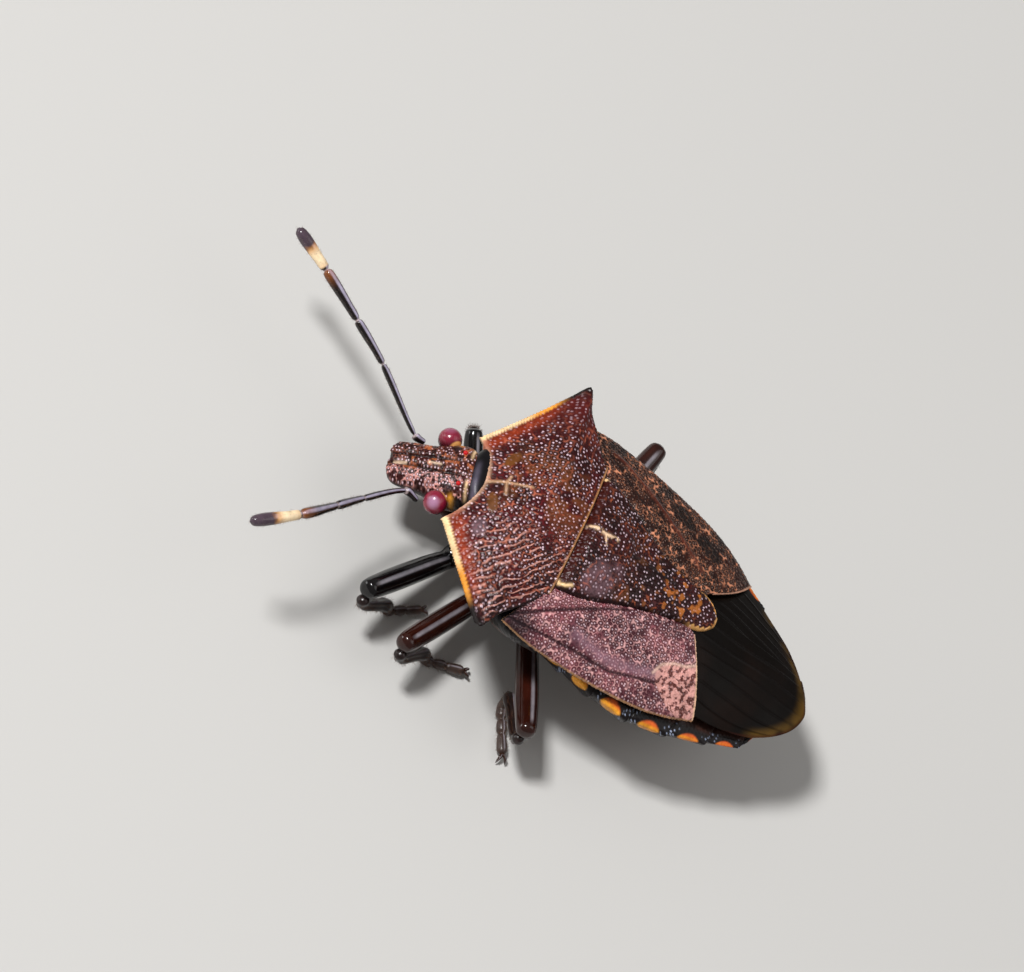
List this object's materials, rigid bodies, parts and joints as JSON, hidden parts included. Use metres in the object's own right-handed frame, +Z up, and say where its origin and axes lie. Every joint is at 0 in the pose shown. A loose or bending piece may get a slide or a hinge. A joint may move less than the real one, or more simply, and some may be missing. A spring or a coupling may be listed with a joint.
{
  "type": "shield bug",
  "caption": "Life-size model of a dark brown shield bug standing still, with pointed shoulders, a long scutellum, folded wings, feelers and legs.",
  "frame": {"origin": "middle of the base of the whole insect's box, where the feet stand", "axes": "-Y the way the head points, +X the insect's left, +Z up"},
  "size_m": [0.0114, 0.02, 0.0051],
  "materials": {
    "shell": "dark brown, densely pitted, satin",
    "wing": "rosy brown, pitted, satin",
    "membrane": "near-black, smooth, glossy",
    "eye": "dark crimson, glossy",
    "leg": "black-brown, glossy",
    "feeler": "black, with pale orange last joint",
    "belly": "dark brown, satin"
  },
  "bodies": {
    "root": {"pronotum": "shell", "scutellum": "shell", "head": "shell", "corium_left": "wing", "corium_right": "wing", "membrane_left": "membrane", "membrane_right": "membrane", "thorax": "belly", "abdomen": "belly", "beak": "belly", "eye_left": "eye", "eye_right": "eye", "antenna_left": "feeler", "antenna_right": "feeler", "fore_left_thigh": "leg", "fore_left_shin": "leg", "fore_left_foot": "leg", "fore_right_thigh": "leg", "fore_right_shin": "leg", "fore_right_foot": "leg", "mid_left_thigh": "leg", "mid_left_shin": "leg", "mid_left_foot": "leg", "mid_right_thigh": "leg", "mid_right_shin": "leg", "mid_right_foot": "leg", "hind_left_thigh": "leg", "hind_left_shin": "leg", "hind_left_foot": "leg", "hind_right_thigh": "leg", "hind_right_shin": "leg", "hind_right_foot": "leg"}
  },
  "joints": []
}
